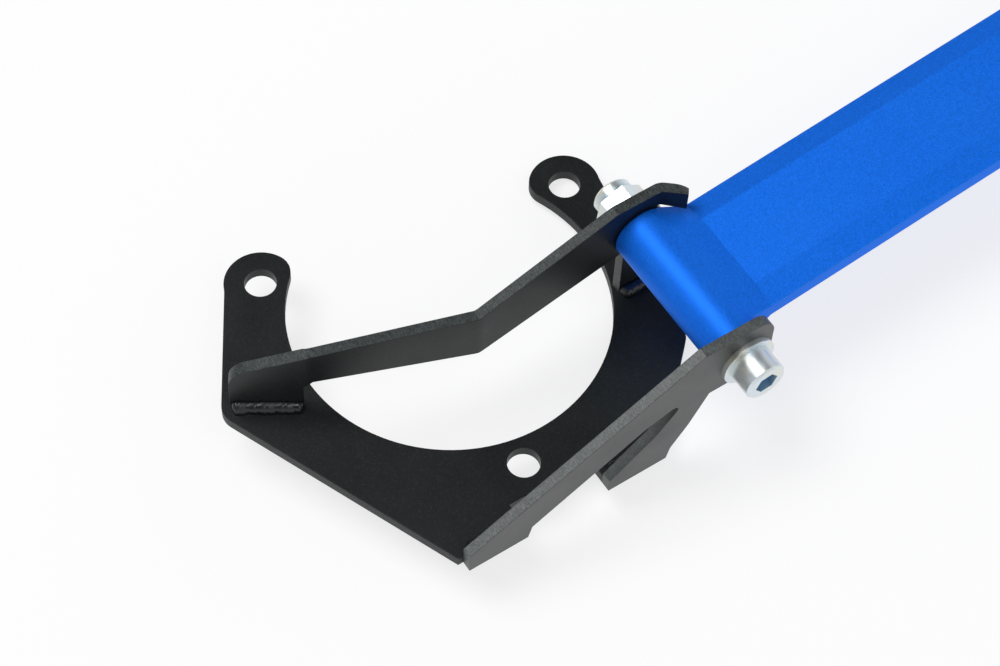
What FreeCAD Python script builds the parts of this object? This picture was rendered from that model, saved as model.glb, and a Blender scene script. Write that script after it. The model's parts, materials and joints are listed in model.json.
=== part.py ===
import FreeCAD, Part
import math
import os
import re

import Sketcher

# Strut tower brace: a flat bevelled bar between two end brackets. Each bracket is a horseshoe base
# plate with three stud holes, a front side plate on two feet and a bent rear arm. The bar ends in
# cross tubes, each clamped between two ears by one pivot bolt.
# Millimetres. The origin is the centre of the left stud circle on the mounting face, +X runs along
# the bar, +Y from the bolt heads to the lock nuts, and +Z up.

DOC = FreeCAD.newDocument("strut_tower_brace")
SHEET = DOC.addObject("Spreadsheet::Sheet", "Sizes")
V = FreeCAD.Vector

SIZES = (
    # The bar and its cross tubes
    ("pivot_spacing", 880.0, "between the two pivot bolts"),
    ("bar_half_width", 25.4, "half of the bar's width"),
    ("bar_flat_half_width", 15.9, "half of the flat band on its top"),
    ("bar_half_height", 6.2, "middle of the bar to its flat top"),
    ("bar_edge_half_height", 3.0, "middle of the bar to the top of its side edge"),
    ("bar_front_gap", 6.0, "front end of the cross tube to the bar's side"),
    ("tube_radius", 11.0, "outside of the cross tube"),
    ("tube_end_chamfer", 0.8, "outer corner of the tube's ends"),
    ("weld_reach", 18.0, "pivot axis to the end of the dressed weld on the bar"),
    ("weld_spread", 2.0, "weld beyond the bar's side at the tube"),
    ("weld_root", 1.0, "cross tube to the bar's end"),
    ("weld_feather", 0.15, "weld's thickness at its end"),
    # The stud circle and the base plate
    ("stud_circle_radius", 70.0, "centre of the strut to a stud"),
    ("stud_turn", 19.0, "direction of the stud nearest the bar, in degrees"),
    ("stud_hole_radius", 6.0, "hole for an M10 stud"),
    ("opening_inset", 10.0, "stud circle to the edge of the opening over the strut"),
    ("lobe_radius", 13.5, "round end of the plate about a stud hole"),
    ("lobe_neck_round", 8.0, "radius where a round end meets the opening"),
    ("base_thickness", 4.5, "base plate"),
    ("outer_corner_x", 93.3, "strut centre to the plate's outer corner"),
    ("outer_corner_y", 5.1, "the same, towards the nut side"),
    ("outer_corner_round", 8.0, "radius of that corner"),
    ("front_edge_left", 53.5, "left end of the plate's front edge"),
    ("front_edge_right", 33.3, "right end of the plate's front edge"),
    ("inner_corner_x", 65.9, "corner under the pivot"),
    ("inner_corner_y", 56.8, "the same, towards the head side"),
    ("inner_corner_round", 5.0, "radius of that corner"),
    ("notch_depth", 8.2, "front edge set back between the two feet"),
    ("tower_lean", 7.3, "base plate leans down towards the bar, in degrees"),
    # The pivot
    ("pivot_x", 61.7, "strut centre to the pivot axis, along the base plate"),
    ("pivot_height", 41.5, "pivot axis above the mounting face"),
    ("front_face", 92.2, "strut centre to the front plate's outer face"),
    ("ear_gap", 59.9, "between the two ears' inner faces"),
    ("tube_end_gap", 0.05, "running gap at each end of the cross tube"),
    ("bolt_radius", 5.0, "M10 shank"),
    ("bolt_length", 85.0, "under the head to the end"),
    ("bolt_end_chamfer", 1.2, "end of the shank"),
    ("bore_gap", 0.1, "shank to the holes in ears, tube and washer"),
    ("head_radius", 8.0, "socket head"),
    ("head_height", 10.0, "socket head"),
    ("head_chamfer", 0.8, "front rim of the head"),
    ("socket_width", 8.0, "hexagon socket across flats"),
    ("socket_depth", 5.0, "hexagon socket"),
    ("washer_radius", 10.5, "washers under the head and the nut"),
    ("washer_thickness", 2.0, "washers under the head and the nut"),
    ("nut_width", 17.0, "lock nut across flats"),
    ("nut_hex_height", 7.8, "hexagon part of the lock nut"),
    ("nut_height", 12.8, "whole lock nut"),
    ("nut_collar_radius", 7.6, "round collar that holds the insert"),
    ("nut_collar_lip", 1.0, "collar's rim over the insert"),
    ("insert_radius", 6.2, "outside of the nylon insert"),
    ("thread_gap", 0.05, "shank to the nut's thread and insert"),
    ("nut_turn", 17.0, "turn of the lock nut, in degrees"),
    # The front side plate, seen from the front: left to right and up from the mounting face
    ("wall", 4.0, "thickness of the upright plates"),
    ("foot_left", 51.4, "left end of the left foot"),
    ("foot_left_end", 27.0, "right end of the left foot"),
    ("foot_right", 7.0, "left end of the right foot"),
    ("foot_right_end", 31.7, "right end of the right foot"),
    ("foot_step", 6.0, "height of the step beside a foot"),
    ("foot_step_slant", 1.5, "how far a step leans to the right"),
    ("foot_end_height", 6.5, "left end of the right foot"),
    ("toe_height", 10.2, "left end of the arm"),
    ("arm_low_x", 20.2, "where the arm's lower edge turns to the point of the gap"),
    ("arm_low_height", 30.4, "the same, up from the mounting face"),
    ("fork_x", 38.3, "point of the gap between arm and leg, before rounding"),
    ("fork_height", 36.6, "the same, up from the mounting face"),
    ("leg_side_x", 25.8, "where the leg's left edge turns to the point of the gap"),
    ("leg_side_height", 21.4, "the same, up from the mounting face"),
    ("fork_round", 2.2, "radius in that point"),
    ("shin_x", 39.8, "bend in the leg's right edge"),
    ("shin_height", 15.9, "bend in the leg's right edge"),
    ("knee_x", 47.3, "leg's right edge meets the ear"),
    ("ear_start", 43.0, "left end of the ear's level top"),
    ("ear_top", 16.9, "pivot axis to the ear's top"),
    ("ear_side", 10.7, "pivot axis to the ear's side and underside"),
    ("ear_corner_round", 7.5, "upper corner of the ear"),
    ("ear_low_round", 10.6, "lower corner of the ear"),
    # The bent rear arm, seen from above and from the front
    ("heel_x", 88.6, "outer end of the rear arm's foot"),
    ("heel_y", 6.4, "outer end of the rear arm's foot, inner face"),
    ("toe_x", 66.3, "inner end of the rear arm's foot"),
    ("foot_bend_x", 64.5, "bend beside the rear arm's foot, inner face"),
    ("foot_bend_y", 8.7, "the same, towards the heads"),
    ("bend_x", 6.0, "where the arm turns along the bar"),
    ("bend_round", 6.0, "inner radius of the bends"),
    ("heel_height", 25.0, "top of the foot's outer end, before rounding"),
    ("heel_round", 10.0, "radius of that corner"),
    ("heel_margin", 0.3, "side outline past the foot's outer end"),
    ("heel_top_x", 64.0, "where the sloping top of the foot ends"),
    ("strip_relief", 3.0, "small slope between the arm's lower edge and the foot"),
    ("strip_top_left", 36.8, "arm's top edge over the foot"),
    ("strip_top_bend", 38.6, "arm's top edge at the bend"),
    ("strip_low_left", 20.4, "arm's lower edge beside the foot"),
    ("strip_low_bend", 16.3, "arm's lower edge at the bend"),
    ("strip_low_ear", 32.0, "arm's lower edge at the ear"),
    ("rear_ear_start", 51.2, "left end of the rear ear's top"),
    ("leg_left", 55.5, "left edge of the rear leg"),
    ("leg_right", 68.6, "right edge of the rear leg"),
    ("tab_start", 8.0, "pivot axis to the start of the folded tab"),
    ("tab_bend_round", 2.0, "inner radius of the tab's fold"),
    ("tab_turn", 39.0, "turn of the folded tab, in degrees"),
    ("tab_length", 9.5, "folded tab along its own face"),
    ("tab_gap", 0.8, "tab's lower edge above the cross tube"),
    ("tab_drop", 2.1, "fall of the tab's lower edge, from the leg to the tab's end"),
    ("tab_round", 6.0, "upper corner of the tab"),
    # Weld beads
    ("bead_leg", 4.0, "leg of a weld bead"),
    ("bead_crown", 3.8, "radius of a bead's face"),
    ("bead_inset", 2.0, "end of a foot to the end of its bead"),
)


def fill_sheet():
    """Write each size as plain text and give its cell the size's name."""
    for row, (name, value, meaning) in enumerate(SIZES, 1):
        SHEET.set("A%d" % row, "%g" % value)
        SHEET.setAlias("A%d" % row, name)
        SHEET.set("B%d" % row, meaning)
    DOC.recompute()


NAMES = re.compile(r"\b(%s)\b" % "|".join(name for name, _, _ in SIZES))


def bound(text):
    """The same formula with each size read from the sheet."""
    return NAMES.sub(r"Sizes.\1", text)


def number(text):
    """The present value of a formula."""
    return float(SHEET.evalExpression(bound(text)))


# Places that several pieces share, as formulas of the sizes
STUD_X = ["stud_circle_radius * cos(stud_turn + %d)" % turn for turn in (0, 120, 240)]
STUD_Y = ["stud_circle_radius * sin(stud_turn + %d)" % turn for turn in (0, 120, 240)]
OPENING_RADIUS = "(stud_circle_radius - opening_inset)"
FRONT_INNER = "(front_face - wall)"
REAR_INNER = "(front_face - wall - ear_gap)"
BAR_MIDDLE = "(front_face - wall - bar_front_gap - bar_half_width)"
TOE_Y = "(heel_y - (heel_x - toe_x) * (foot_bend_y + heel_y) / (heel_x - foot_bend_x))"
PIVOT_WORLD_X = "(pivot_x * cos(tower_lean) + pivot_height * sin(tower_lean))"
PIVOT_WORLD_Z = "(pivot_height * cos(tower_lean) - pivot_x * sin(tower_lean))"
SPAN = "(2 * %s + pivot_spacing)" % PIVOT_WORLD_X


class Piece:
    """A body built from sketches on its own origin planes. hand is 1 at the left end and -1 at the
    right end, where every sketch is the mirror image."""

    def __init__(self, label, hand=1):
        self.body = DOC.addObject("PartDesign::Body", label)
        self.body.Label = label
        self.hand = hand
        self.label = label

    def sketch(self, role, offset="0"):
        sketch = self.body.newObject("Sketcher::SketchObject", self.label + "_sketch")
        plane = [item for item in self.body.Origin.OriginFeatures if item.Role == role][0]
        sketch.AttachmentSupport = [(plane, "")]
        sketch.MapMode = "FlatFace"
        sketch.setExpression("AttachmentOffset.Base.z", bound(offset))
        return sketch

    def mirrored(self, text, role):
        """Turn a formula along X to the other side for the right end's pieces."""
        return text if role == "YZ_Plane" or self.hand == 1 else "-(%s)" % text

    def outline(self, sketch, role, points):
        """Closed run of straight edges through points, each bound to its two formulas."""
        start = sketch.GeometryCount
        spots = [(self.mirrored(across, role), up) for across, up in points]
        places = [V(number(across), number(up), 0) for across, up in spots]
        count = len(places)
        for index in range(count):
            sketch.addGeometry(Part.LineSegment(places[index], places[(index + 1) % count]))
        for index, (across, up) in enumerate(spots):
            edge, after = start + index, start + (index + 1) % count
            sketch.addConstraint(Sketcher.Constraint("Coincident", edge, 2, after, 1))
            for kind, text in (("DistanceX", across), ("DistanceY", up)):
                fixed = Sketcher.Constraint(kind, -1, 1, edge, 1, number(text))
                sketch.setExpression("Constraints[%d]" % sketch.addConstraint(fixed), bound(text))

    def circle(self, sketch, role, across, up, radius):
        across = self.mirrored(across, role)
        middle = V(number(across), number(up), 0)
        ring = sketch.addGeometry(Part.Circle(middle, V(0, 0, 1), number(radius)))
        for kind, text, values in (
            ("DistanceX", across, (-1, 1, ring, 3)),
            ("DistanceY", up, (-1, 1, ring, 3)),
            ("Radius", radius, (ring,)),
        ):
            fixed = Sketcher.Constraint(kind, *values, number(text))
            sketch.setExpression("Constraints[%d]" % sketch.addConstraint(fixed), bound(text))

    def hexagon(self, sketch, role, across, up, flats, turn="0"):
        """Hexagon measured across its flats, with a corner along the sketch's first axis."""
        reach = "(%s) / sqrt(3)" % flats
        corners = [
            ("%s + %s * cos(%s + %d)" % (across, reach, turn, 60 * side),
             "%s + %s * sin(%s + %d)" % (up, reach, turn, 60 * side))
            for side in range(6)
        ]
        self.outline(sketch, role, corners)

    def pad(self, sketch, length, both=False):
        pad = self.body.newObject("PartDesign::Pad", self.label + "_pad")
        pad.Profile = sketch
        pad.Midplane = both
        pad.setExpression("Length", bound(length))
        sketch.Visibility = False
        DOC.recompute()
        return pad

    def pocket(self, sketch, length=None, back=False):
        """Cut the sketch's area out, through the whole piece unless a length is given."""
        before = self.body.Shape.Volume
        pocket = self.body.newObject("PartDesign::Pocket", self.label + "_pocket")
        pocket.Profile = sketch
        pocket.Reversed = back
        if length is None:
            pocket.Type = "ThroughAll"
            pocket.Midplane = True
        else:
            pocket.setExpression("Length", bound(length))
        DOC.recompute()
        if not self.body.Shape.Volume < before - 1e-6:
            raise ValueError("a pocket of %s cuts nothing" % self.label)
        return pocket

    def turned(self, sketch):
        """Solid of revolution about the sketch's vertical axis."""
        turned = self.body.newObject("PartDesign::Revolution", self.label + "_turned")
        turned.Profile = sketch
        turned.ReferenceAxis = (sketch, ["V_Axis"])
        turned.Angle = 360
        DOC.recompute()
        return turned

    def edges_at(self, role, points):
        """Names of the straight edges that stand on the given sketch points."""
        found = []
        across_y = role == "XZ_Plane"
        spots = [(number(self.mirrored(across, role)), number(up)) for across, up in points]
        for index, edge in enumerate(self.body.Shape.Edges, 1):
            if edge.Curve.TypeId != "Part::GeomLine":
                continue
            ends = [vertex.Point for vertex in edge.Vertexes]
            flat = [(end.x, end.z if across_y else end.y) for end in ends]
            if len(flat) < 2 or math.dist(flat[0], flat[1]) > 1e-6:
                continue
            if any(math.dist(flat[0], spot) < 1e-3 for spot in spots):
                found.append("Edge%d" % index)
        return found

    def round_off(self, role, radius, *points):
        """Round the edges that stand on the given sketch points."""
        names = self.edges_at(role, points)
        if len(names) < len(points):
            raise ValueError("an edge to round is missing on %s" % self.label)
        rounded = self.body.newObject("PartDesign::Fillet", self.label + "_round")
        rounded.Base = (rounded.BaseFeature, names)
        rounded.setExpression("Radius", bound(radius))
        self.body.Tip = rounded
        DOC.recompute()
        return rounded

    def round_edge(self, radius, *ends):
        """Round the straight edge between two points, each given as three formulas."""
        spots = [V(number(self.mirrored(x, "XY_Plane")), number(y), number(z)) for x, y, z in ends]
        names = [
            "Edge%d" % index for index, edge in enumerate(self.body.Shape.Edges, 1)
            if len(edge.Vertexes) == len(spots)
            and all(min(at.distanceToPoint(spot) for spot in spots) < 1e-3
                    for at in (vertex.Point for vertex in edge.Vertexes))
        ]
        if len(names) != 1:
            raise ValueError("an edge to round is missing on %s" % self.label)
        rounded = self.body.newObject("PartDesign::Fillet", self.label + "_round")
        rounded.Base = (rounded.BaseFeature, names)
        rounded.setExpression("Radius", bound(radius))
        self.body.Tip = rounded
        DOC.recompute()

    def bore(self, role, across, up, radius):
        sketch = self.sketch(role)
        self.circle(sketch, role, across, up, radius)
        return self.pocket(sketch)

    def place_on_bracket(self):
        """Lean the piece with its base plate about the stud circle's centre, at its own end."""
        place = self.body.Placement
        place.Rotation = FreeCAD.Rotation(V(0, 1, 0), 1)
        self.body.Placement = place
        lean = "tower_lean" if self.hand == 1 else "-tower_lean"
        self.body.setExpression("Placement.Rotation.Angle", bound(lean))
        if self.hand == -1:
            self.body.setExpression("Placement.Base.x", bound(SPAN))
        return self.body

    def place_on_pivot(self):
        """Move a piece built about its own Y axis to the pivot at its end."""
        across = PIVOT_WORLD_X if self.hand == 1 else "%s - %s" % (SPAN, PIVOT_WORLD_X)
        self.body.setExpression("Placement.Base.x", bound(across))
        self.body.setExpression("Placement.Base.z", bound(PIVOT_WORLD_Z))
        return self.body


def base_plate(end, hand):
    """Horseshoe plate: a polygon with round lobes at the studs, less the strut opening."""
    piece = Piece(end + "_base_plate", hand)
    flat = "XY_Plane"
    outer_slope = "atan2(outer_corner_x + (%s), (%s) - outer_corner_y)" % (STUD_X[1], STUD_Y[1])
    inner_slope = "atan2((%s) - inner_corner_x, (%s) + inner_corner_y)" % (STUD_X[0], STUD_Y[0])
    outer_corner = ("-outer_corner_x", "outer_corner_y")
    inner_corner = ("inner_corner_x", "-inner_corner_y")
    sketch = piece.sketch(flat)
    piece.outline(sketch, flat, [
        ("%s - lobe_radius * cos(%s)" % (STUD_X[1], outer_slope),
         "%s + lobe_radius * sin(%s)" % (STUD_Y[1], outer_slope)),
        outer_corner,
        ("-front_edge_left", "-%s" % FRONT_INNER),
        ("-foot_left_end", "-%s" % FRONT_INNER),
        ("-foot_left_end", "notch_depth - %s" % FRONT_INNER),
        ("foot_right", "notch_depth - %s" % FRONT_INNER),
        ("foot_right", "-%s" % FRONT_INNER),
        ("front_edge_right", "-%s" % FRONT_INNER),
        inner_corner,
        ("%s + lobe_radius * cos(%s)" % (STUD_X[0], inner_slope),
         "%s - lobe_radius * sin(%s)" % (STUD_Y[0], inner_slope)),
        (STUD_X[0], STUD_Y[0]),
        ("0", "0"),
        (STUD_X[1], STUD_Y[1]),
    ])
    piece.pad(sketch, "base_thickness")
    piece.round_off(flat, "outer_corner_round", outer_corner)
    piece.round_off(flat, "inner_corner_round", inner_corner)
    lobes = piece.sketch(flat)
    for across, up in zip(STUD_X, STUD_Y):
        piece.circle(lobes, flat, across, up, "lobe_radius")
    piece.pad(lobes, "base_thickness")
    piece.bore(flat, "0", "0", OPENING_RADIUS)
    neck = ("acos((stud_circle_radius ^ 2 + %s ^ 2 - lobe_radius ^ 2)"
            " / (2 * stud_circle_radius * %s))" % (OPENING_RADIUS, OPENING_RADIUS))
    piece.round_off(flat, "lobe_neck_round", *[
        ("%s * cos(%s)" % (OPENING_RADIUS, turn), "%s * sin(%s)" % (OPENING_RADIUS, turn))
        for turn in ("stud_turn + %s / 1 deg" % neck, "stud_turn + 120 - %s / 1 deg" % neck)
    ])
    hole = piece.bore(flat, STUD_X[0], STUD_Y[0], "stud_hole_radius")
    ring = piece.body.newObject("PartDesign::PolarPattern", end + "_stud_holes")
    ring.Originals = [hole]
    ring.Axis = (hole.Profile[0], ["N_Axis"])
    ring.Angle = 360
    ring.Occurrences = len(STUD_X)
    piece.body.Tip = ring
    return piece.place_on_bracket()


def front_plate(end, hand):
    """Side plate on two feet, with an arm up to the ear and a leg beside it."""
    piece = Piece(end + "_front_plate", hand)
    side = "XZ_Plane"
    fork = ("fork_x", "fork_height")
    low_corner = ("pivot_x + ear_side", "pivot_height - ear_side")
    top_corner = ("pivot_x + ear_side", "pivot_height + ear_top")
    knee = ("knee_x", "pivot_height - ear_side")
    sketch = piece.sketch(side, FRONT_INNER)
    piece.outline(sketch, side, [
        ("-foot_left", "0"),
        ("-foot_left_end", "0"),
        ("foot_step_slant - foot_left_end", "foot_step"),
        ("arm_low_x", "arm_low_height"),
        fork,
        ("leg_side_x", "leg_side_height"),
        ("foot_right", "foot_end_height"),
        ("foot_right", "0"),
        ("foot_right_end", "0"),
        ("foot_right_end + foot_step_slant", "foot_step"),
        ("shin_x", "shin_height"),
        knee,
        low_corner,
        top_corner,
        ("ear_start", "pivot_height + ear_top"),
        ("-foot_left", "toe_height"),
    ])
    piece.pad(sketch, "wall")
    piece.round_off(side, "fork_round", fork)
    piece.round_off(side, "ear_low_round", low_corner)
    piece.round_off(side, "ear_corner_round", top_corner)
    piece.bore(side, "pivot_x", "pivot_height", "bolt_radius + bore_gap")
    return piece.place_on_bracket()


def rear_arm(end, hand):
    """Strip on edge: cut to its side outline, and bent as its plan shows. The ear ends in a tab
    folded over the bar, which stops the bracket's swing."""
    piece = Piece(end + "_rear_arm", hand)
    side, flat = "XZ_Plane", "XY_Plane"
    tab_low = ("pivot_height + sqrt(tube_radius ^ 2 - tab_start ^ 2) + tab_start * tan(tower_lean)"
               " + tab_gap")
    tab_end = "pivot_x + tab_start + tab_length * cos(tab_turn)"
    heel_top = ("-heel_x - heel_margin", "heel_height")
    tab_corner = (tab_end + " + wall", "pivot_height + ear_top")
    profile = piece.sketch(side)
    piece.outline(profile, side, [
        ("-heel_x - heel_margin", "base_thickness"),
        ("-toe_x", "base_thickness"),
        ("-toe_x", "strip_low_left - strip_relief"),
        ("strip_relief - toe_x", "strip_low_left"),
        ("-bend_x", "strip_low_bend"),
        ("leg_left", "strip_low_ear"),
        ("leg_left", "base_thickness"),
        ("leg_right", "base_thickness"),
        ("leg_right", tab_low),
        (tab_end + " + wall", tab_low + " - tab_drop"),
        tab_corner,
        ("rear_ear_start", "pivot_height + ear_top"),
        ("-bend_x", "strip_top_bend"),
        ("-heel_top_x", "strip_top_left"),
        heel_top,
    ])
    piece.pad(profile, "3 * front_face", both=True)
    piece.round_off(side, "tab_round", tab_corner)

    foot_turn = "(atan2(-(foot_bend_y + heel_y), heel_x - foot_bend_x) / 1 deg)"
    strip_turn = "(atan2(foot_bend_y - %s, foot_bend_x - bend_x) / 1 deg)" % REAR_INNER
    run = [
        ("-heel_x", "heel_y", foot_turn, foot_turn),
        ("-foot_bend_x", "-foot_bend_y", foot_turn, strip_turn),
        ("-bend_x", "-" + REAR_INNER, strip_turn, "0"),
        ("pivot_x + tab_start", "-" + REAR_INNER, "0", "-tab_turn"),
        (tab_end, "-%s - tab_length * sin(tab_turn)" % REAR_INNER, "-tab_turn", "-tab_turn"),
    ]
    inner = [(across, up) for across, up, _, _ in run]
    outer = [
        ("%s - wall * sin((%s + %s) / 2) / cos((%s - %s) / 2)" % (across, before, after, before, after),
         "%s + wall * cos((%s + %s) / 2) / cos((%s - %s) / 2)" % (up, before, after, before, after))
        for across, up, before, after in run
    ]
    plan = piece.sketch(flat)
    piece.outline(plan, flat, [
        ("-2 * front_face", "-2 * front_face"),
        ("2 * front_face", "-2 * front_face"),
        ("2 * front_face", "2 * front_face"),
        ("-2 * front_face", "2 * front_face"),
    ])
    piece.outline(plan, flat, inner + outer[::-1])
    piece.pocket(plan)
    piece.round_off(flat, "bend_round", outer[1], outer[2])
    piece.round_off(flat, "bend_round + wall", inner[1], inner[2])
    piece.round_off(flat, "tab_bend_round", inner[3])
    piece.round_off(flat, "tab_bend_round + wall", outer[3])
    heel_slope = "(strip_top_left - heel_height) / (heel_x + heel_margin - heel_top_x)"
    piece.round_edge("heel_round", *[
        (across, up, "strip_top_left + (%s + heel_top_x) * %s" % (across, heel_slope))
        for across, up in (inner[0], outer[0])
    ])
    ear = piece.sketch(side, REAR_INNER + " - wall")
    piece.circle(ear, side, "pivot_x", "pivot_height", "ear_side")
    piece.pad(ear, "wall")
    piece.bore(side, "pivot_x", "pivot_height", "bolt_radius + bore_gap")
    return piece.place_on_bracket()


def bead(end, hand, name, start, stop):
    """Quarter round weld bead on the base plate along the foot of an upright plate. It lies to the
    left of the line from start to stop."""
    piece = Piece("%s_%s_weld" % (end, name), hand)
    flat = "XY_Plane"
    along = "(atan2((%s) - (%s), (%s) - (%s)) / 1 deg)" % (stop[1], start[1], stop[0], start[0])
    far = [
        ("%s - bead_leg * sin(%s)" % (across, along), "%s + bead_leg * cos(%s)" % (up, along))
        for across, up in (stop, start)
    ]
    sketch = piece.sketch(flat, "base_thickness")
    piece.outline(sketch, flat, [start, stop] + far)
    piece.pad(sketch, "bead_leg")
    piece.round_edge("bead_crown", *[at + ("base_thickness + bead_leg",) for at in far])
    return piece.place_on_bracket()


def bar():
    """Flat bar with bevelled borders above and below, from one cross tube's weld to the other."""
    piece = Piece("bar")
    sketch = piece.sketch("YZ_Plane", "%s + tube_radius + weld_root" % PIVOT_WORLD_X)
    piece.outline(sketch, "YZ_Plane", bar_section("bar_half_width", "bar_edge_half_height",
                                                  "bar_flat_half_width", "bar_half_height"))
    piece.pad(sketch, "pivot_spacing - 2 * (tube_radius + weld_root)")
    piece.body.setExpression("Placement.Base.z", bound(PIVOT_WORLD_Z))
    return piece.body


def bar_section(half_width, edge_height, flat_width, height):
    """Eight corners of the bar's section about its own middle."""
    corners = [(half_width, edge_height), (flat_width, height)]
    right = [(x, z) for x, z in corners]
    left = [("-(%s)" % x, z) for x, z in corners[::-1]]
    upper = right + left
    lower = [(x, "-(%s)" % z) for x, z in upper[::-1]]
    return [("%s - %s" % (x, BAR_MIDDLE), z) for x, z in upper + lower]


def bar_weld(end, hand):
    """Dressed weld: leaves the cross tube at a tangent and tapers to the bar on all sides."""
    piece = Piece(end + "_bar_weld", hand)
    face, side = "YZ_Plane", "XZ_Plane"
    sections = []
    end_height = "(bar_half_height + weld_feather)"
    tangent = ("(atan2(%s, weld_reach) + acos(tube_radius / sqrt(weld_reach ^ 2 + %s ^ 2)))"
               % (end_height, end_height))
    slope = "(bar_half_height - bar_edge_half_height) / (bar_half_width - bar_flat_half_width)"
    for reach, spread, height in (
        ("tube_radius * cos(%s)" % tangent, "weld_spread", "tube_radius * sin(%s)" % tangent),
        ("weld_reach", "weld_feather", end_height),
    ):
        section = piece.sketch(face, reach if hand == 1 else "-(%s)" % reach)
        half = "(bar_half_width + %s)" % spread
        edge = "(%s - (%s - bar_flat_half_width) * %s)" % (height, half, slope)
        piece.outline(section, face, bar_section(half, edge, "bar_flat_half_width", height))
        sections.append(section)
    loft = piece.body.newObject("PartDesign::AdditiveLoft", piece.label + "_loft")
    loft.Profile = sections[0]
    loft.Sections = sections[1:]
    loft.Ruled = True
    DOC.recompute()
    piece.bore(side, "0", "0", "tube_radius")
    root = "tube_radius + weld_root"
    core = piece.sketch(face, root if hand == 1 else "-(%s)" % root)
    piece.outline(core, face, bar_section("bar_half_width", "bar_edge_half_height",
                                          "bar_flat_half_width", "bar_half_height"))
    piece.pocket(core, "weld_reach", back=hand == 1)
    return piece.place_on_pivot()


def cross_tube(end, hand):
    piece = Piece(end + "_cross_tube", hand)
    side = "XZ_Plane"
    sketch = piece.sketch(side, REAR_INNER + " + tube_end_gap")
    piece.circle(sketch, side, "0", "0", "tube_radius")
    piece.pad(sketch, "ear_gap - 2 * tube_end_gap")
    rims = ["Edge%d" % index for index, edge in enumerate(piece.body.Shape.Edges, 1)
            if edge.Curve.TypeId == "Part::GeomCircle"]
    chamfer = piece.body.newObject("PartDesign::Chamfer", piece.label + "_chamfer")
    chamfer.Base = (chamfer.BaseFeature, rims)
    chamfer.setExpression("Size", bound("tube_end_chamfer"))
    DOC.recompute()
    piece.bore(side, "0", "0", "bolt_radius + bore_gap")
    return piece.place_on_pivot()


def pivot_bolt(end, hand):
    """Socket head screw: the head lies on the washer and the shank ends past the lock nut."""
    piece = Piece(end + "_pivot_bolt", hand)
    under_head = "(front_face + washer_thickness)"
    face = "(front_face + washer_thickness + head_height)"
    sketch = piece.sketch("XY_Plane")
    piece.outline(sketch, "XY_Plane", [
        ("0", "-" + face),
        ("head_radius - head_chamfer", "-" + face),
        ("head_radius", "head_chamfer - " + face),
        ("head_radius", "-" + under_head),
        ("bolt_radius", "-" + under_head),
        ("bolt_radius", "bolt_length - bolt_end_chamfer - " + under_head),
        ("bolt_radius - bolt_end_chamfer", "bolt_length - " + under_head),
        ("0", "bolt_length - " + under_head),
    ])
    piece.turned(sketch)
    socket = piece.sketch("XZ_Plane", face)
    piece.hexagon(socket, "XZ_Plane", "0", "0", "socket_width")
    piece.pocket(socket, "socket_depth")
    return piece.place_on_pivot()


def washer(end, hand, name, nut_side_face):
    """Plain washer with its nut side at the given formula, towards the heads."""
    piece = Piece("%s_%s_washer" % (end, name), hand)
    sketch = piece.sketch("XZ_Plane", nut_side_face)
    piece.circle(sketch, "XZ_Plane", "0", "0", "washer_radius")
    piece.circle(sketch, "XZ_Plane", "0", "0", "bolt_radius + bore_gap")
    piece.pad(sketch, "washer_thickness")
    return piece.place_on_pivot()


def lock_nut(end, hand):
    """Hexagon with chamfered corners and a round collar rolled over the insert."""
    piece = Piece(end + "_lock_nut", hand)
    flat = "XY_Plane"
    seat = "(wall + washer_thickness - %s)" % REAR_INNER
    shoulder = "(%s + nut_hex_height)" % seat
    top = "(%s + nut_height)" % seat
    hexagon = piece.sketch("XZ_Plane", "-" + shoulder)
    piece.hexagon(hexagon, "XZ_Plane", "0", "0", "nut_width", "nut_turn")
    piece.pad(hexagon, "nut_hex_height")
    collar = piece.sketch(flat)
    piece.outline(collar, flat, [
        ("bolt_radius + bore_gap", seat),
        ("nut_collar_radius", seat),
        ("nut_collar_radius", top + " - nut_collar_lip"),
        ("nut_collar_radius - nut_collar_lip", top),
        ("insert_radius - nut_collar_lip / 2", top),
        ("insert_radius", top + " - nut_collar_lip"),
        ("insert_radius", shoulder),
        ("bolt_radius + bore_gap", shoulder),
    ])
    piece.turned(collar)
    piece.bore("XZ_Plane", "0", "0", "bolt_radius + thread_gap")
    return piece.place_on_pivot()


def nut_insert(end, hand):
    piece = Piece(end + "_nut_insert", hand)
    top = "(wall + washer_thickness - %s + nut_height - nut_collar_lip)" % REAR_INNER
    sketch = piece.sketch("XZ_Plane", "-" + top)
    piece.circle(sketch, "XZ_Plane", "0", "0", "insert_radius")
    piece.circle(sketch, "XZ_Plane", "0", "0", "bolt_radius + thread_gap")
    piece.pad(sketch, "nut_height - nut_hex_height - nut_collar_lip")
    return piece.place_on_pivot()


def bracket(end, hand):
    """One end's plates and the beads that join them."""
    return [
        base_plate(end, hand),
        front_plate(end, hand),
        rear_arm(end, hand),
        bead(end, hand, "front_foot", ("bead_inset - foot_left", "-" + FRONT_INNER),
             ("-foot_left_end - bead_inset", "-" + FRONT_INNER)),
        bead(end, hand, "front_toe", ("foot_right + bead_inset", "-" + FRONT_INNER),
             ("foot_right_end - bead_inset", "-" + FRONT_INNER)),
        bead(end, hand, "heel", ("-toe_x", TOE_Y), ("-heel_x", "heel_y")),
        bead(end, hand, "leg", ("leg_right", "-" + REAR_INNER), ("leg_left", "-" + REAR_INNER)),
    ]


def pivot(end, hand):
    """One end of the bar: cross tube, dressed weld and the bolted joint through the ears."""
    return [
        cross_tube(end, hand),
        bar_weld(end, hand),
        pivot_bolt(end, hand),
        washer(end, hand, "head", "front_face"),
        washer(end, hand, "nut", REAR_INNER + " - wall - washer_thickness"),
        lock_nut(end, hand),
        nut_insert(end, hand),
    ]


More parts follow.
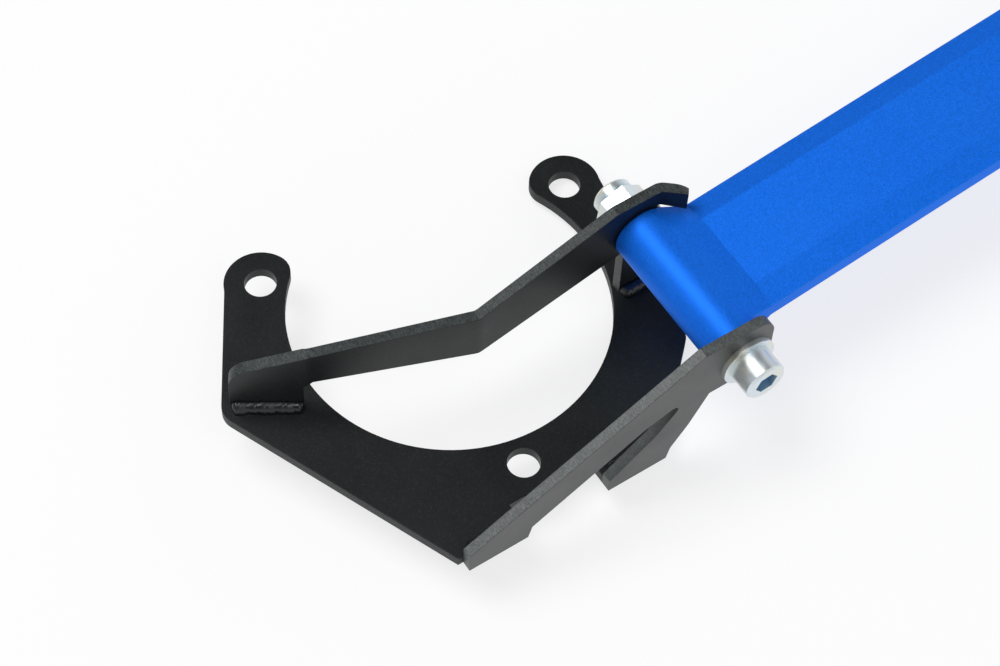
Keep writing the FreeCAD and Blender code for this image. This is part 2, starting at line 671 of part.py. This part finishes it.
def check(pieces):
    """Stop if any object failed, or a piece isn't one valid solid."""
    for item in DOC.Objects:
        if {"Invalid", "Error"} & set(item.State):
            raise ValueError("%s did not build" % item.Name)
    for piece in pieces:
        shape = piece.Shape
        if shape.isNull() or not shape.isValid() or len(shape.Solids) != 1:
            raise ValueError("%s isn't one valid solid" % piece.Label)


def write(pieces):
    os.makedirs("parts", exist_ok=True)
    for piece in pieces:
        piece.Shape.exportStep("parts/%s.step" % piece.Label)


def main():
    fill_sheet()
    pieces = [bar()]
    for end, hand in (("left", 1), ("right", -1)):
        pieces += pivot(end, hand) + bracket(end, hand)
    DOC.recompute()
    check(pieces)
    write(pieces)


main()
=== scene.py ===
import json
import math
import random

import bmesh
import bpy
from mathutils import Matrix, Vector


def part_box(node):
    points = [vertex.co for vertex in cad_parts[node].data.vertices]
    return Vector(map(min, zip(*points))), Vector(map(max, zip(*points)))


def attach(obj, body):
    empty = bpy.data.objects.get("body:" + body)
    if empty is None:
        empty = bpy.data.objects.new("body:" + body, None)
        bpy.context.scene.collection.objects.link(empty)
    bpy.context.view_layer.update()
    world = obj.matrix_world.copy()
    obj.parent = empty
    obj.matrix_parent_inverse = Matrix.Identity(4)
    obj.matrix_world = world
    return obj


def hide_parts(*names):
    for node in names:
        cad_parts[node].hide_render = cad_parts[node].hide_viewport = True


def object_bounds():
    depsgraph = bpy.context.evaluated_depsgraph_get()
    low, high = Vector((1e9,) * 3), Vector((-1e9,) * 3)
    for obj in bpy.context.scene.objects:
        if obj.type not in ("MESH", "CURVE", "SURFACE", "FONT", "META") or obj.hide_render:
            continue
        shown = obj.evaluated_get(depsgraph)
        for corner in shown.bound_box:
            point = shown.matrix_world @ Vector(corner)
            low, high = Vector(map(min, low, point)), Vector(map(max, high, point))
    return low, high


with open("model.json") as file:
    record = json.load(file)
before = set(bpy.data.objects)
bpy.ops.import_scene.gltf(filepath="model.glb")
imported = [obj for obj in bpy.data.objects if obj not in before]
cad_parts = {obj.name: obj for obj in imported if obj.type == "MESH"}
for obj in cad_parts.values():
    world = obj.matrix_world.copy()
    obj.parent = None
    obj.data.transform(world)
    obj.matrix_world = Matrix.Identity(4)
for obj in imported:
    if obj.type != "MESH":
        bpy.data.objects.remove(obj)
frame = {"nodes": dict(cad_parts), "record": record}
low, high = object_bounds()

# Strut tower brace, dressed around its CAD frame: black powder coated brackets, a metallic blue
# bar, zinc plated bolts and rippled weld beads. Metres; the frame's origin is the centre of the
# left stud circle, with +X along the bar and +Z up.

MM = 0.001
ENDS = ("left", "right")

# The camera of the photograph
PHOTO_PLACE = Vector((-0.184097, -0.429783, 0.842208))
PHOTO_AZIMUTH = math.radians(-25.2815)
PHOTO_ELEVATION = math.radians(61.5789)
PHOTO_ROLL = math.radians(-9.4159)
PHOTO_LENS = 94.624
SENSOR_WIDTH = 36.0

# Weld beads
BEADS = ("front_foot", "front_toe", "heel", "leg")
RIPPLE_PITCH = 3.3 * MM
RIPPLE_LAG = 0.9 * MM
RIPPLE_DEPTH = 0.07
BEAD_FULL = 0.99
BEAD_RAGGED = 0.16
BEAD_TAPER = 2.2 * MM
BEAD_STEP = 0.2 * MM
BEAD_TIP = 0.02
BEAD_ROUNDS = 14
AXIS_ROUNDS = 60
SAME_HEIGHT = 0.01 * MM
SEED = 7

# Dressed welds between the bar and its cross tubes
WELD_STEPS = 18
WELD_EDGE_STEPS = 14
WELD_SINK = 0.03 * MM
WELD_MARGIN = 0.15 * MM
WELD_LAND = 0.25
WELD_WAVE = 0.12 * MM
WELD_WAVES = 5
WELD_PACES = (0.15, 0.5)
SAME_DIGITS = 5

# Floor and light
FLOOR_SIZE = 12.0
FLOOR_GREY = 0.95
FLOOR_GLOW = 0.7
FLOOR_WHITE = 1.05
SKY_LOW = 0.8
SKY_HIGH = 0.12
SKY_FADE = (0.35, 0.75)
SKY_FAR = 0.3
SKY_FAR_FADE = (0.35, 0.85)
LAMP_AIM = Vector((0.1, -0.06, 0.02))
KEY = ((-0.55, 1.1, 2.95), 1.9, 0.58)
FILL = ((0.3, -1.7, 2.6), 1.6, 0.16)


def linear(red, green, blue):
    """Linear colour of an sRGB colour given from 0 to 255."""
    parts = [part / 255 for part in (red, green, blue)]
    return tuple(p / 12.92 if p <= 0.04045 else ((p + 0.055) / 1.055) ** 2.4 for p in parts)


BLACK = linear(17, 21, 22)
# Painted highlight colour along the black coat's sharp edges
BLACK_EDGE_HIGHLIGHT = linear(60, 66, 67)
# Light grey of the black coat's specks, and of the painted highlight on its cut edges
SPECK_AND_CUT_HIGHLIGHT = linear(92, 101, 101)
BLUE = linear(14, 116, 248)
# Pale blue of the blue coat's random clouds, and of the painted highlight along its edges
BLUE_PALE_AND_EDGE_HIGHLIGHT = linear(60, 150, 250)
ZINC = linear(222, 232, 238)
ZINC_WARM = linear(230, 229, 214)
# Painted shade: darker, bluer zinc for hollows and narrow gaps
ZINC_PAINTED_SHADE = linear(150, 192, 218)
NYLON = linear(92, 128, 190)


class Finish:
    """A material in the making: its node tree, with short calls for the nodes used here. Places
    and normals are the object's own, so they stay on it in every pose."""

    def __init__(self, name):
        self.material = bpy.data.materials.new(name)
        self.material.use_nodes = True
        self.nodes = self.material.node_tree.nodes
        self.surface = self.nodes["Principled BSDF"]
        own = self.nodes.new("ShaderNodeTexCoord")
        self.place, self.normal = own.outputs["Object"], own.outputs["Normal"]

    def feed(self, socket, value):
        if isinstance(value, bpy.types.NodeSocket):
            self.material.node_tree.links.new(value, socket)
        else:
            socket.default_value = value

    def fixed(self, **values):
        """Numbers and colours that are the same all over the surface."""
        for name, value in values.items():
            self.surface.inputs[name.replace("_", " ")].default_value = value

    def math(self, operation, *values):
        node = self.nodes.new("ShaderNodeMath")
        node.operation = operation
        for socket, value in zip(node.inputs, values):
            self.feed(socket, value)
        return node.outputs[0]

    def vector(self, operation, *values):
        node = self.nodes.new("ShaderNodeVectorMath")
        node.operation = operation
        for socket, value in zip(node.inputs, values):
            self.feed(socket, value)
        return node.outputs["Value" if operation in ("DOT_PRODUCT", "LENGTH") else "Vector"]

    def part(self, vector, axis):
        node = self.nodes.new("ShaderNodeSeparateXYZ")
        self.feed(node.inputs[0], vector)
        return node.outputs[axis]

    def noise(self, scale, detail=2.0, roughness=0.5, stretch=(1, 1, 1)):
        node = self.nodes.new("ShaderNodeTexNoise")
        self.feed(node.inputs["Vector"], self.vector("MULTIPLY", self.place, stretch))
        for name, value in (("Scale", scale), ("Detail", detail), ("Roughness", roughness)):
            node.inputs[name].default_value = value
        return node.outputs["Fac"]

    def cells(self, scale):
        """A random grey for each small cell, for flakes and specks."""
        node = self.nodes.new("ShaderNodeTexVoronoi")
        self.feed(node.inputs["Vector"], self.place)
        node.inputs["Scale"].default_value = scale
        return self.part(node.outputs["Color"], 0)

    def span(self, value, low, high, start=0.0, stop=1.0):
        """Smooth step of value from start at low to stop at high."""
        node = self.nodes.new("ShaderNodeMapRange")
        node.interpolation_type = "SMOOTHSTEP"
        for socket, given in zip(node.inputs, (value, low, high, start, stop)):
            self.feed(socket, given)
        return node.outputs[0]

    def blend(self, share, first, second):
        node = self.nodes.new("ShaderNodeMix")
        node.data_type = "RGBA"
        self.feed(node.inputs[0], share)
        for socket, colour in ((node.inputs[6], first), (node.inputs[7], second)):
            self.feed(socket, (*colour, 1) if isinstance(colour, tuple) else colour)
        return node.outputs[2]

    def soft_edges(self, radius):
        """Normal of the surface with its sharp edges rounded, and how near an edge is."""
        node = self.nodes.new("ShaderNodeBevel")
        node.samples = 6
        node.inputs["Radius"].default_value = radius
        turned = self.vector("DOT_PRODUCT", node.outputs[0],
                             self.nodes.new("ShaderNodeNewGeometry").outputs["Normal"])
        return node.outputs[0], self.span(turned, 0.995, 0.86)

    def openness_for_painted_shade(self, reach):
        """How open the piece's own surface is around, from 0 in narrow slots to 1; where it is low,
        shade is painted.
        """
        node = self.nodes.new("ShaderNodeAmbientOcclusion")
        node.samples = 6
        node.only_local = True
        node.inputs["Distance"].default_value = reach
        return self.span(node.outputs["AO"], 0.7, 0.97)

    def bumps(self, normal, *layers):
        """Bump layers, each a height, its strength and its depth in metres."""
        for height, strength, depth in layers:
            node = self.nodes.new("ShaderNodeBump")
            node.inputs["Strength"].default_value = strength
            node.inputs["Distance"].default_value = depth
            self.feed(node.inputs["Height"], height)
            if normal:
                self.feed(node.inputs["Normal"], normal)
            normal = node.outputs[0]
        return normal

    def done(self, colour, roughness, normal):
        self.feed(self.surface.inputs["Base Color"], colour)
        self.feed(self.surface.inputs["Roughness"], roughness)
        self.feed(self.surface.inputs["Normal"], normal)
        return self.material


def black_coat(name, thickness, cut_highlight, shine):
    """Satin black powder coat of the given shine, with a painted highlight along its sharp edges.
    The plate's thickness direction, Y or Z, tells its cut edges, which show the cutter's fine
    lines as bumps and as a painted highlight of the given strength, faded by painted shade in slots."""
    finish = Finish(name)
    rounded, edge = finish.soft_edges(0.5 * MM)
    cloud = finish.noise(38, 3)
    grain = finish.noise(1700, 2, 0.6)
    peel = finish.noise(700)
    speck = finish.span(finish.cells(2100), 0.70, 1.0)
    colour = finish.blend(finish.span(cloud, 0.3, 0.7), BLACK, tuple(1.3 * c for c in BLACK))
    colour = finish.blend(finish.math("MULTIPLY", speck, 0.07), colour, SPECK_AND_CUT_HIGHLIGHT)
    # Painted highlight: lighter grey along the sharp edges
    colour = finish.blend(finish.math("MULTIPLY", edge, 0.4), colour, BLACK_EDGE_HIGHLIGHT)
    roughness = finish.span(cloud, 0.25, 0.75, 0.36, 0.46)
    axis = "XYZ".index(thickness)
    across = finish.math("ABSOLUTE", finish.part(finish.normal, axis))
    # Cut faces, with painted shade: their painted highlight fades out where they lie in narrow slots
    cut = finish.math("MULTIPLY", finish.span(across, 0.72, 0.60), finish.openness_for_painted_shade(45 * MM))
    lines = finish.noise(1, 2, 0.8, [700 if index == axis else 3600 for index in range(3)])
    patches = finish.span(finish.noise(220, 2), 0.35, 0.65, 0.7, 1.0)
    # Painted highlight on the cut edges, patchy and following the cutter's lines
    light = finish.math("MULTIPLY", finish.math("MULTIPLY", cut, patches),
                        finish.span(lines, 0.32, 0.70))
    colour = finish.blend(finish.math("MULTIPLY", light, cut_highlight), colour, SPECK_AND_CUT_HIGHLIGHT)
    roughness = finish.blend(cut, roughness, (0.5, 0.5, 0.5))
    layers = [(peel, 0.25, 0.12 * MM), (grain, 0.35, 0.03 * MM),
              (finish.math("MULTIPLY", cut, lines), 0.4 * cut_highlight, 0.06 * MM)]
    finish.fixed(Specular_IOR_Level=shine)
    return finish.done(colour, roughness, finish.bumps(rounded, *layers))


def weld_coat():
    """The same powder coat run thick and glossy over a weld bead."""
    finish = Finish("black_weld_coat")
    cloud = finish.noise(240, 3)
    colour = finish.blend(finish.span(cloud, 0.35, 0.7), BLACK, tuple(1.8 * c for c in BLACK))
    roughness = finish.span(cloud, 0.3, 0.7, 0.2, 0.34)
    layers = [(finish.noise(900, 3, 0.6), 0.3, 0.08 * MM)]
    finish.fixed(Specular_IOR_Level=0.55)
    return finish.done(colour, roughness, finish.bumps(None, *layers))


def blue_coat():
    """Metallic blue powder coat with fine flakes and a painted highlight along its edges."""
    finish = Finish("metallic_blue_coat")
    rounded, edge = finish.soft_edges(0.9 * MM)
    flake = finish.cells(3200)
    cloud = finish.noise(26, 3)
    peel = finish.noise(520)
    colour = finish.blend(finish.span(flake, 0.1, 0.95), tuple(0.86 * c for c in BLUE),
                          tuple(min(1.12 * c + 0.004, 1) for c in BLUE))
    colour = finish.blend(finish.span(cloud, 0.4, 0.8, 0, 0.06), colour, BLUE_PALE_AND_EDGE_HIGHLIGHT)
    # Painted highlight: a pale line along the sharp edges
    colour = finish.blend(finish.math("MULTIPLY", edge, 0.7), colour, BLUE_PALE_AND_EDGE_HIGHLIGHT)
    roughness = finish.span(flake, 0, 1, 0.44, 0.58)
    layers = [(peel, 0.2, 0.1 * MM), (flake, 0.06, 0.02 * MM)]
    finish.fixed(Metallic=0.45, Specular_IOR_Level=0.35, Specular_Tint=(0.45, 0.75, 1.0, 1.0))
    return finish.done(colour, roughness, finish.bumps(rounded, *layers))


def zinc(name, axis_place=None):
    """Bright zinc plate. Where the axis of a turned piece is given, its faces show turned rings."""
    finish = Finish(name)
    rounded, edge = finish.soft_edges(0.35 * MM)
    cloud = finish.noise(130, 3)
    grain = finish.noise(2400, 2, 0.6)
    colour = finish.blend(finish.span(cloud, 0.4, 0.75), ZINC, ZINC_WARM)
    # Painted highlight: near white along the sharp edges
    colour = finish.blend(finish.math("MULTIPLY", edge, 0.5), colour, (0.95, 0.96, 0.97))
    # Painted shade: darker, bluer zinc in hollows
    colour = finish.blend(finish.openness_for_painted_shade(5 * MM), ZINC_PAINTED_SHADE, colour)
    roughness = finish.span(finish.noise(420, 3), 0.3, 0.7, 0.28, 0.42)
    layers = [(grain, 0.25, 0.03 * MM)]
    if axis_place:
        from_axis = finish.vector("MULTIPLY", (1, 0, 1),
                                  finish.vector("SUBTRACT", finish.place, tuple(axis_place)))
        radius = finish.vector("LENGTH", from_axis)
        rings = finish.math("SINE", finish.math("MULTIPLY", radius, 9000))
        facing = finish.span(finish.math("ABSOLUTE", finish.part(finish.normal, 1)), 0.7, 0.95)
        layers.append((finish.math("MULTIPLY", rings, facing), 0.18, 0.05 * MM))
    finish.fixed(Metallic=0.8)
    return finish.done(colour, roughness, finish.bumps(rounded, *layers))


def nylon():
    """Pale blue nylon of the lock nut's insert."""
    finish = Finish("nylon_insert")
    rounded, _ = finish.soft_edges(0.3 * MM)
    cloud = finish.noise(300, 3)
    colour = finish.blend(finish.span(cloud, 0.3, 0.7), NYLON, tuple(0.8 * c for c in NYLON))
    finish.fixed(Subsurface_Weight=0.1, Subsurface_Scale=0.5 * MM)
    return finish.done(colour, finish.span(cloud, 0.3, 0.7, 0.35, 0.5),
                       finish.bumps(rounded, (finish.noise(2200), 0.2, 0.03 * MM)))


def paint(node, material):
    """Give a CAD node's slots one material."""
    for slot in frame["nodes"][node].material_slots:
        slot.material = material


def finished(mesh, name, material):
    """Turn a bmesh into a smooth shaded object of that name."""
    data = bpy.data.meshes.new(name)
    mesh.to_mesh(data)
    mesh.free()
    data.shade_smooth()
    data.materials.append(material)
    made = bpy.data.objects.new(name, data)
    bpy.context.collection.objects.link(made)
    return made


def bead_corner(node, up):
    """Root line of a CAD bead, from its own mesh: where it starts, the directions along it and
    out of the wall, its length and its leg."""
    corners = [vertex.co for vertex in frame["nodes"][node].data.vertices]
    middle = sum(corners, Vector()) / len(corners)
    flat = [(at - middle) - up * (at - middle).dot(up) for at in corners]
    along = max(flat, key=lambda at: at.length).normalized()
    for _ in range(AXIS_ROUNDS):
        along = sum((at * at.dot(along) for at in flat), Vector()).normalized()
    out = up.cross(along)
    heights = [at.dot(up) for at in corners]
    top = max(heights)
    wall = [at for at in corners if at.dot(up) > top - SAME_HEIGHT]
    wall_side = sum(((at - middle).dot(out) for at in wall)) / len(wall)
    out = out if wall_side < 0 else -out
    reach = [(at - middle).dot(along) for at in corners]
    sides = [(at - middle).dot(out) for at in corners]
    start = (middle + along * min(reach) + out * min(sides)
             + up * (min(heights) - middle.dot(up)))
    return start, along, out, max(reach) - min(reach), top - min(heights)


def weld_bead(end, name, up, material, chance):
    """Rippled bead: overlapping crescents in the corner between a plate and an upright wall."""
    node = "%s_%s_weld" % (end, name)
    start, along, out, length, leg = bead_corner(node, up)
    ends = [0.0]
    while ends[-1] < length + RIPPLE_LAG:
        ends.append(ends[-1] + RIPPLE_PITCH * chance.uniform(0.82, 1.18))
    sizes = [chance.uniform(1 - BEAD_RAGGED, 1) for _ in ends]
    mesh = bmesh.new()
    rings = []
    for step in range(int(length / BEAD_STEP) + 1):
        run = length * step / int(length / BEAD_STEP)
        tip = min(min(run, length - run) / BEAD_TAPER, 1)
        swell = math.sqrt(max(1 - (1 - tip) ** 2, BEAD_TIP))
        ring = [mesh.verts.new(start + along * run)]
        for turn in range(BEAD_ROUNDS + 1):
            angle = math.pi / 2 * turn / BEAD_ROUNDS
            lagged = run + RIPPLE_LAG * math.sin(2 * angle) ** 2
            index = max(i for i, at in enumerate(ends) if at <= lagged)
            after = ends[min(index + 1, len(ends) - 1)]
            share = min((lagged - ends[index]) / max(after - ends[index], RIPPLE_PITCH / 2), 1)
            scallop = math.sqrt(max(1 - (2 * share - 1) ** 2, 0))
            ease = share * share * (3 - 2 * share)
            size = sizes[index] * (1 - ease) + sizes[min(index + 1, len(sizes) - 1)] * ease
            radius = leg * BEAD_FULL * swell * size * (1 - RIPPLE_DEPTH * (1 - scallop))
            ring.append(mesh.verts.new(
                start + along * run + out * radius * math.cos(angle) + up * radius * math.sin(angle)
            ))
        rings.append(ring)
    for before, after in zip(rings, rings[1:]):
        for index in range(len(before)):
            other = (index + 1) % len(before)
            mesh.faces.new((before[index], before[other], after[other], after[index]))
    mesh.faces.new(rings[0][::-1])
    mesh.faces.new(rings[-1])
    bmesh.ops.recalc_face_normals(mesh, faces=mesh.faces[:])
    bead = finished(mesh, node + "_bead", material)
    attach(bead, end + "_bracket")
    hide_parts(node)


def bar_corners():
    """The bar's section, from its own mesh: corner points about its middle, in order around it."""
    bar_low, bar_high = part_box("bar")
    middle = (bar_low + bar_high) / 2
    found = {(round(vertex.co.y - middle.y, SAME_DIGITS), round(vertex.co.z - middle.z, SAME_DIGITS))
             for vertex in frame["nodes"]["bar"].data.vertices}
    return middle, sorted(found, key=lambda at: math.atan2(at[1], at[0]))


def bar_weld(end, material, chance):
    """Dressed weld: a skin from the cross tube to the bar, smooth at the tube, with a soft crease
    where the bar's own faces start."""
    tube_low, tube_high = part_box(end + "_cross_tube")
    weld_low, weld_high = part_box(end + "_bar_weld")
    radius = (tube_high.z - tube_low.z) / 2
    pivot = (tube_low + tube_high) / 2
    middle, corners = bar_corners()
    hand = 1 if middle.x > pivot.x else -1
    reach = max(hand * (weld_high.x - pivot.x), hand * (weld_low.x - pivot.x))
    half = max(y for y, _ in corners)
    height = max(z for _, z in corners)
    spread = (weld_high.y - weld_low.y) / 2 / half
    far_spread = (tube_high.y - middle.y - WELD_MARGIN) / half
    tangent = math.atan2(height, reach) + math.acos(radius / math.hypot(height, reach))
    loop = []
    for (y, z), (next_y, next_z) in zip(corners, corners[1:] + corners[:1]):
        for step in range(WELD_EDGE_STEPS):
            share = (1 - math.cos(math.pi * step / WELD_EDGE_STEPS)) / 2
            loop.append((y + (next_y - y) * share, z + (next_z - z) * share))
    waves = [(chance.uniform(*WELD_PACES), chance.uniform(0, math.tau)) for _ in range(WELD_WAVES)]
    mesh = bmesh.new()
    rows = []
    for y, z in loop:
        lift = math.sin(math.pi / 2 * z / height)
        turn = math.asin(lift * math.sin(tangent))
        start = Vector((radius * math.cos(turn), y * (far_spread if y > 0 else spread),
                        radius * math.sin(turn)))
        start -= Vector((math.cos(turn), 0, math.sin(turn))) * WELD_SINK
        stop = Vector((reach, y * (1 + WELD_SINK / half), z * (1 + WELD_SINK / height)))
        chord = stop - start
        along_tube = Vector((abs(math.sin(turn)), 0, -math.copysign(math.cos(turn), turn)))
        leave = chord.normalized().lerp(along_tube, abs(lift) ** 3) * chord.length
        land = chord.lerp(Vector((chord.length, 0, 0)), WELD_LAND)
        row = []
        for step in range(WELD_STEPS + 1):
            t = step / WELD_STEPS
            place = (start * (2 * t ** 3 - 3 * t ** 2 + 1) + leave * (t ** 3 - 2 * t ** 2 + t)
                     + stop * (3 * t ** 2 - 2 * t ** 3) + land * (t ** 3 - t ** 2))
            wave = sum(math.sin(y / MM * pace + phase + 2 * t) for pace, phase in waves)
            place += Vector((0, y / half, z / height)) * (
                WELD_WAVE * wave / len(waves) * math.sin(math.pi * t))
            row.append(mesh.verts.new(
                (pivot.x + hand * place.x, middle.y + place.y, pivot.z + place.z)))
        rows.append(row)
    for row, after in zip(rows, rows[1:] + rows[:1]):
        for step in range(WELD_STEPS):
            mesh.faces.new((row[step], row[step + 1], after[step + 1], after[step]))
    bmesh.ops.recalc_face_normals(mesh, faces=mesh.faces[:])
    piece = finished(mesh, end + "_weld_skin", material)
    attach(piece, "bar")
    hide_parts(end + "_bar_weld")


def dress():
    """Finish every CAD node and lay the weld beads."""
    # Three copies of one black coat: each part's painted cut-edge highlight has its own strength,
    # and its shine differs
    plate = black_coat("black_base_plate", "Z", 0.3, 0.3)
    front = black_coat("black_front_plate", "Y", 1.0, 1.0)
    rear = black_coat("black_rear_arm", "Y", 0.7, 0.35)
    blue, plated, plastic = blue_coat(), zinc("zinc_nut"), nylon()
    bead_black = weld_coat()
    chance = random.Random(SEED)
    paint("bar", blue)
    axes = {mount["name"]: Vector(mount["axis"]).normalized()
            for mount in frame["record"]["mounts"] if "axis" in mount}
    for end in ENDS:
        bolt_low, bolt_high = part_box(end + "_pivot_bolt")
        turned = zinc("zinc_turned_" + end, (bolt_low + bolt_high) / 2)
        for piece, material in (
            ("cross_tube", blue), ("base_plate", plate), ("front_plate", front),
            ("rear_arm", rear), ("pivot_bolt", turned),
            ("head_washer", turned), ("nut_washer", turned), ("lock_nut", plated),
            ("nut_insert", plastic),
        ):
            paint("%s_%s" % (end, piece), material)
        bar_weld(end, blue, chance)
        up = axes[end + "_studs"]
        for name in BEADS:
            weld_bead(end, name, up if up.z > 0 else -up, bead_black, chance)


def camera():
    """The photograph's viewpoint, built from its azimuth, elevation and roll."""
    azimuth, elevation = PHOTO_AZIMUTH, PHOTO_ELEVATION
    back = Vector((math.sin(azimuth) * math.cos(elevation),
                   -math.cos(azimuth) * math.cos(elevation), math.sin(elevation)))
    right = Vector((math.cos(azimuth), math.sin(azimuth), 0))
    up = back.cross(right)
    across = right * math.cos(PHOTO_ROLL) + up * math.sin(PHOTO_ROLL)
    upward = up * math.cos(PHOTO_ROLL) - right * math.sin(PHOTO_ROLL)
    data = bpy.data.cameras.new("photo_camera")
    data.lens, data.sensor_width, data.sensor_fit = PHOTO_LENS, SENSOR_WIDTH, "HORIZONTAL"
    data.clip_start = 0.01
    made = bpy.data.objects.new("photo_camera", data)
    bpy.context.collection.objects.link(made)
    made.matrix_world = Matrix.Translation(PHOTO_PLACE) @ Matrix(
        (across, upward, back)).transposed().to_4x4()
    bpy.context.scene.camera = made


def floor(height):
    """Pale floor that shows white to the camera and in reflections, and keeps soft shadows."""
    material = bpy.data.materials.new("white_floor")
    material.use_nodes = True
    nodes, links = material.node_tree.nodes, material.node_tree.links
    nodes.remove(nodes["Principled BSDF"])
    paths = nodes.new("ShaderNodeLightPath")
    seen = nodes.new("ShaderNodeMath")
    seen.operation = "ADD"
    links.new(paths.outputs["Is Camera Ray"], seen.inputs[0])
    links.new(paths.outputs["Is Glossy Ray"], seen.inputs[1])
    share = nodes.new("ShaderNodeMath")
    share.operation = "MULTIPLY"
    share.use_clamp = True
    share.inputs[1].default_value = FLOOR_GLOW
    links.new(seen.outputs[0], share.inputs[0])
    plain = nodes.new("ShaderNodeBsdfDiffuse")
    plain.inputs["Color"].default_value = (FLOOR_GREY,) * 3 + (1,)
    glow = nodes.new("ShaderNodeEmission")
    glow.inputs["Strength"].default_value = FLOOR_WHITE
    mixed = nodes.new("ShaderNodeMixShader")
    links.new(share.outputs[0], mixed.inputs[0])
    links.new(plain.outputs[0], mixed.inputs[1])
    links.new(glow.outputs[0], mixed.inputs[2])
    links.new(mixed.outputs[0], nodes["Material Output"].inputs["Surface"])
    half = FLOOR_SIZE / 2
    data = bpy.data.meshes.new("floor")
    data.from_pydata([(-half, -half, height), (half, -half, height), (half, half, height),
                      (-half, half, height)], [], [(0, 1, 2, 3)])
    data.materials.append(material)
    made = bpy.data.objects.new("floor", data)
    bpy.context.collection.objects.link(made)


def lamp(name, place, size, level):
    """Square soft box that gives the lamps' aim a share level of a plain exposure."""
    toward = Vector(place) - LAMP_AIM
    data = bpy.data.lights.new(name, "AREA")
    data.shape, data.size = "SQUARE", size
    data.energy = level * math.pi ** 2 * toward.length_squared
    made = bpy.data.objects.new(name, data)
    bpy.context.collection.objects.link(made)
    made.matrix_world = Matrix.Translation(place) @ (
        toward.to_track_quat("Z", "Y").to_matrix().to_4x4())


def surroundings():
    """World that is white to the camera and gives everything else a soft sky, brightest low."""
    world = bpy.data.worlds.new("studio")
    bpy.context.scene.world = world
    world.use_nodes = True
    nodes, links = world.node_tree.nodes, world.node_tree.links
    place = nodes.new("ShaderNodeTexCoord")
    split = nodes.new("ShaderNodeSeparateXYZ")
    links.new(place.outputs["Generated"], split.inputs[0])
    fades = []
    for axis, ramp in (("Z", (*SKY_FADE, SKY_LOW, SKY_HIGH)), ("Y", (*SKY_FAR_FADE, 1, SKY_FAR))):
        fade = nodes.new("ShaderNodeMapRange")
        fade.interpolation_type = "SMOOTHSTEP"
        for socket, value in zip(list(fade.inputs)[1:5], ramp):
            socket.default_value = value
        links.new(split.outputs[axis], fade.inputs[0])
        fades.append(fade.outputs[0])
    sky = nodes.new("ShaderNodeMath")
    sky.operation = "MULTIPLY"
    links.new(fades[0], sky.inputs[0])
    links.new(fades[1], sky.inputs[1])
    paths = nodes.new("ShaderNodeLightPath")
    level = nodes.new("ShaderNodeMix")
    links.new(paths.outputs["Is Camera Ray"], level.inputs[0])
    links.new(sky.outputs[0], level.inputs[2])
    level.inputs[3].default_value = 1.0
    links.new(level.outputs[0], nodes["Background"].inputs["Strength"])
    nodes["Background"].inputs["Color"].default_value = (1, 1, 1, 1)


def main():
    camera()
    dress()
    floor(low.z)
    surroundings()
    lamp("key", *KEY)
    lamp("fill", *FILL)
    bpy.context.scene.view_settings.view_transform = "Standard"


main()
